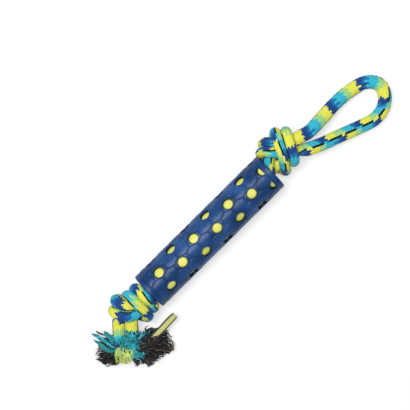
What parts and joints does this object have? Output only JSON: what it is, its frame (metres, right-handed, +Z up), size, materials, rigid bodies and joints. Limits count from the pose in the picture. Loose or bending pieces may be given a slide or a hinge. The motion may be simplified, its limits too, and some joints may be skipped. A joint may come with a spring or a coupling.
{
  "type": "dog tug toy",
  "caption": "Tug toy: doubled braided rope knotted at both ends of a rubber sleeve with hexagonal holes over a core tube, with a hand loop at one end and frayed tails at the other.",
  "frame": {"origin": "centre of the bounding box's base, where the toy rests on its surface", "axes": "+X along the sleeve towards the hand loop, +Z up, the cut tails lie towards -X and -Y"},
  "size_m": [0.418, 0.092, 0.0491],
  "materials": {
    "sleeve_rubber": "satin moulded rubber, navy",
    "core_rubber": "satin moulded rubber, lemon yellow",
    "braided_rope": "solid-braided polyester, space-dyed navy, turquoise, light green and yellow",
    "core_fibre": "frayed charcoal core fibres",
    "teal_yarn": "frayed teal yarn",
    "lime_yarn": "frayed yellow-green yarn",
    "turquoise_yarn": "frayed turquoise yarn",
    "lemon_yarn": "stiff yellow yarn"
  },
  "bodies": {
    "rope": {"rope_leg_upper": "braided_rope", "rope_leg_lower": "braided_rope", "top_knot_strand_a": "braided_rope", "top_knot_strand_b": "braided_rope", "bottom_knot_strand_a": "braided_rope", "bottom_knot_strand_b": "braided_rope"},
    "sleeve": {"outer_sleeve": "sleeve_rubber", "inner_core": "core_rubber"},
    "neck": {"loop_neck_upper": "braided_rope", "loop_neck_lower": "braided_rope"},
    "loop": {"handle_loop": "braided_rope"},
    "tail_a": {"tail_a_sheath": "braided_rope", "tail_a_core_fibres": "core_fibre", "tail_a_teal_yarns": "teal_yarn", "tail_a_lime_yarns": "lime_yarn"},
    "tail_b": {"tail_b_sheath": "braided_rope", "tail_b_core_fibres": "core_fibre", "tail_b_blue_yarns": "turquoise_yarn", "tail_b_long_yarn": "lemon_yarn"}
  },
  "joints": [
    {"name": "sleeve_spin", "type": "hinge", "parent": "rope", "child": "sleeve", "pos_m": [-0.03153, 0.01529, 0.021], "axis": [1, 0, 0], "continuous": true},
    {"name": "neck_sway", "type": "hinge", "parent": "rope", "child": "neck", "pos_m": [0.11997, 0.00979, 0.021], "axis": [0, 0, 1], "range_deg": [-20, 20]},
    {"name": "loop_lift", "type": "hinge", "parent": "neck", "child": "loop", "pos_m": [0.14247, 0.01529, 0.0125], "axis": [0, -1, 0], "range_deg": [-25, 60]},
    {"name": "tail_a_lift", "type": "hinge", "parent": "rope", "child": "tail_a", "pos_m": [-0.17203, 0.00679, 0.016], "axis": [-0.7286, 0.6849, 0], "range_deg": [-10, 40]},
    {"name": "tail_b_lift", "type": "hinge", "parent": "rope", "child": "tail_b", "pos_m": [-0.16253, -0.00371, 0.016], "axis": [-0.7809, 0.6247, 0], "range_deg": [-10, 30]}
  ]
}
